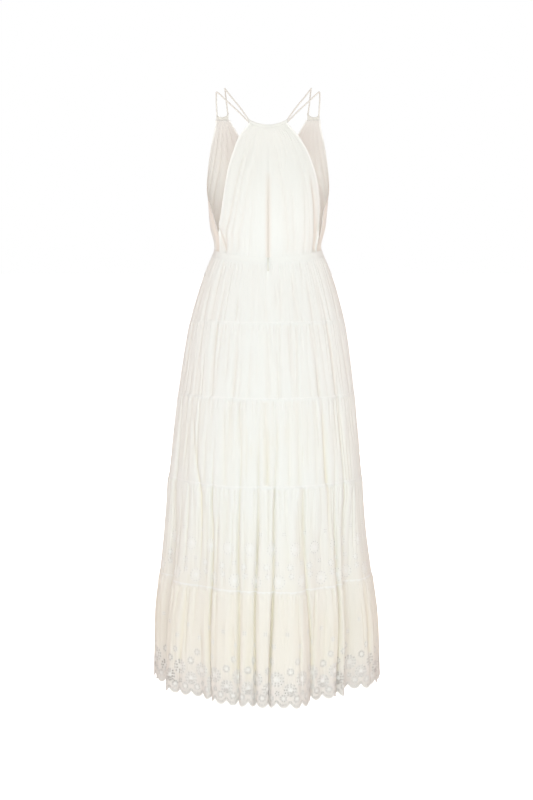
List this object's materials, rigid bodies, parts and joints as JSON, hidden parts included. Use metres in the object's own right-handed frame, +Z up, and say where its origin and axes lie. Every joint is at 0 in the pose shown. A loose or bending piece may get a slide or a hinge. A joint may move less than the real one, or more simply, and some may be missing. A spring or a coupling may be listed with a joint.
{
  "type": "tiered maxi dress",
  "caption": "Sleeveless maxi dress, filled out: halter back with a slit, V-necked front, thin straps and a gathered tiered skirt with a broderie hem.",
  "frame": {"origin": "midway between the wearer's shoulders, level with the tops of the inner straps", "axes": "+Z up towards the head, -Y is the back of the dress with the zip, +X is the wearer's right"},
  "size_m": [0.5461, 0.5411, 1.4042],
  "materials": {
    "voile": "matte ivory cotton voile",
    "broderie": "ivory cotton voile with broderie anglaise",
    "binding": "doubled ivory cotton, pressed and topstitched",
    "zip": "ivory enamel, slightly glossy"
  },
  "bodies": {
    "dress": {"bodice_front": "voile", "bodice_back_left": "voile", "bodice_back_right": "voile", "front_band_left": "binding", "front_band_right": "binding", "back_neck_binding": "binding", "strap_left_inner": "binding", "strap_left_outer": "binding", "strap_right_inner": "binding", "strap_right_outer": "binding", "waistband": "binding", "zip_slider": "zip", "tier_1": "voile", "tier_2": "voile", "tier_3": "voile", "tier_4": "broderie", "tier_5": "broderie"},
    "zip_pull": {"zip_pull_tab": "zip"}
  },
  "joints": [
    {"name": "pull_tab_swing", "type": "hinge", "parent": "dress", "child": "zip_pull", "pos_m": [0, -0.09858, -0.396], "axis": [-1, 0, 0], "range_deg": [0, 150]}
  ]
}
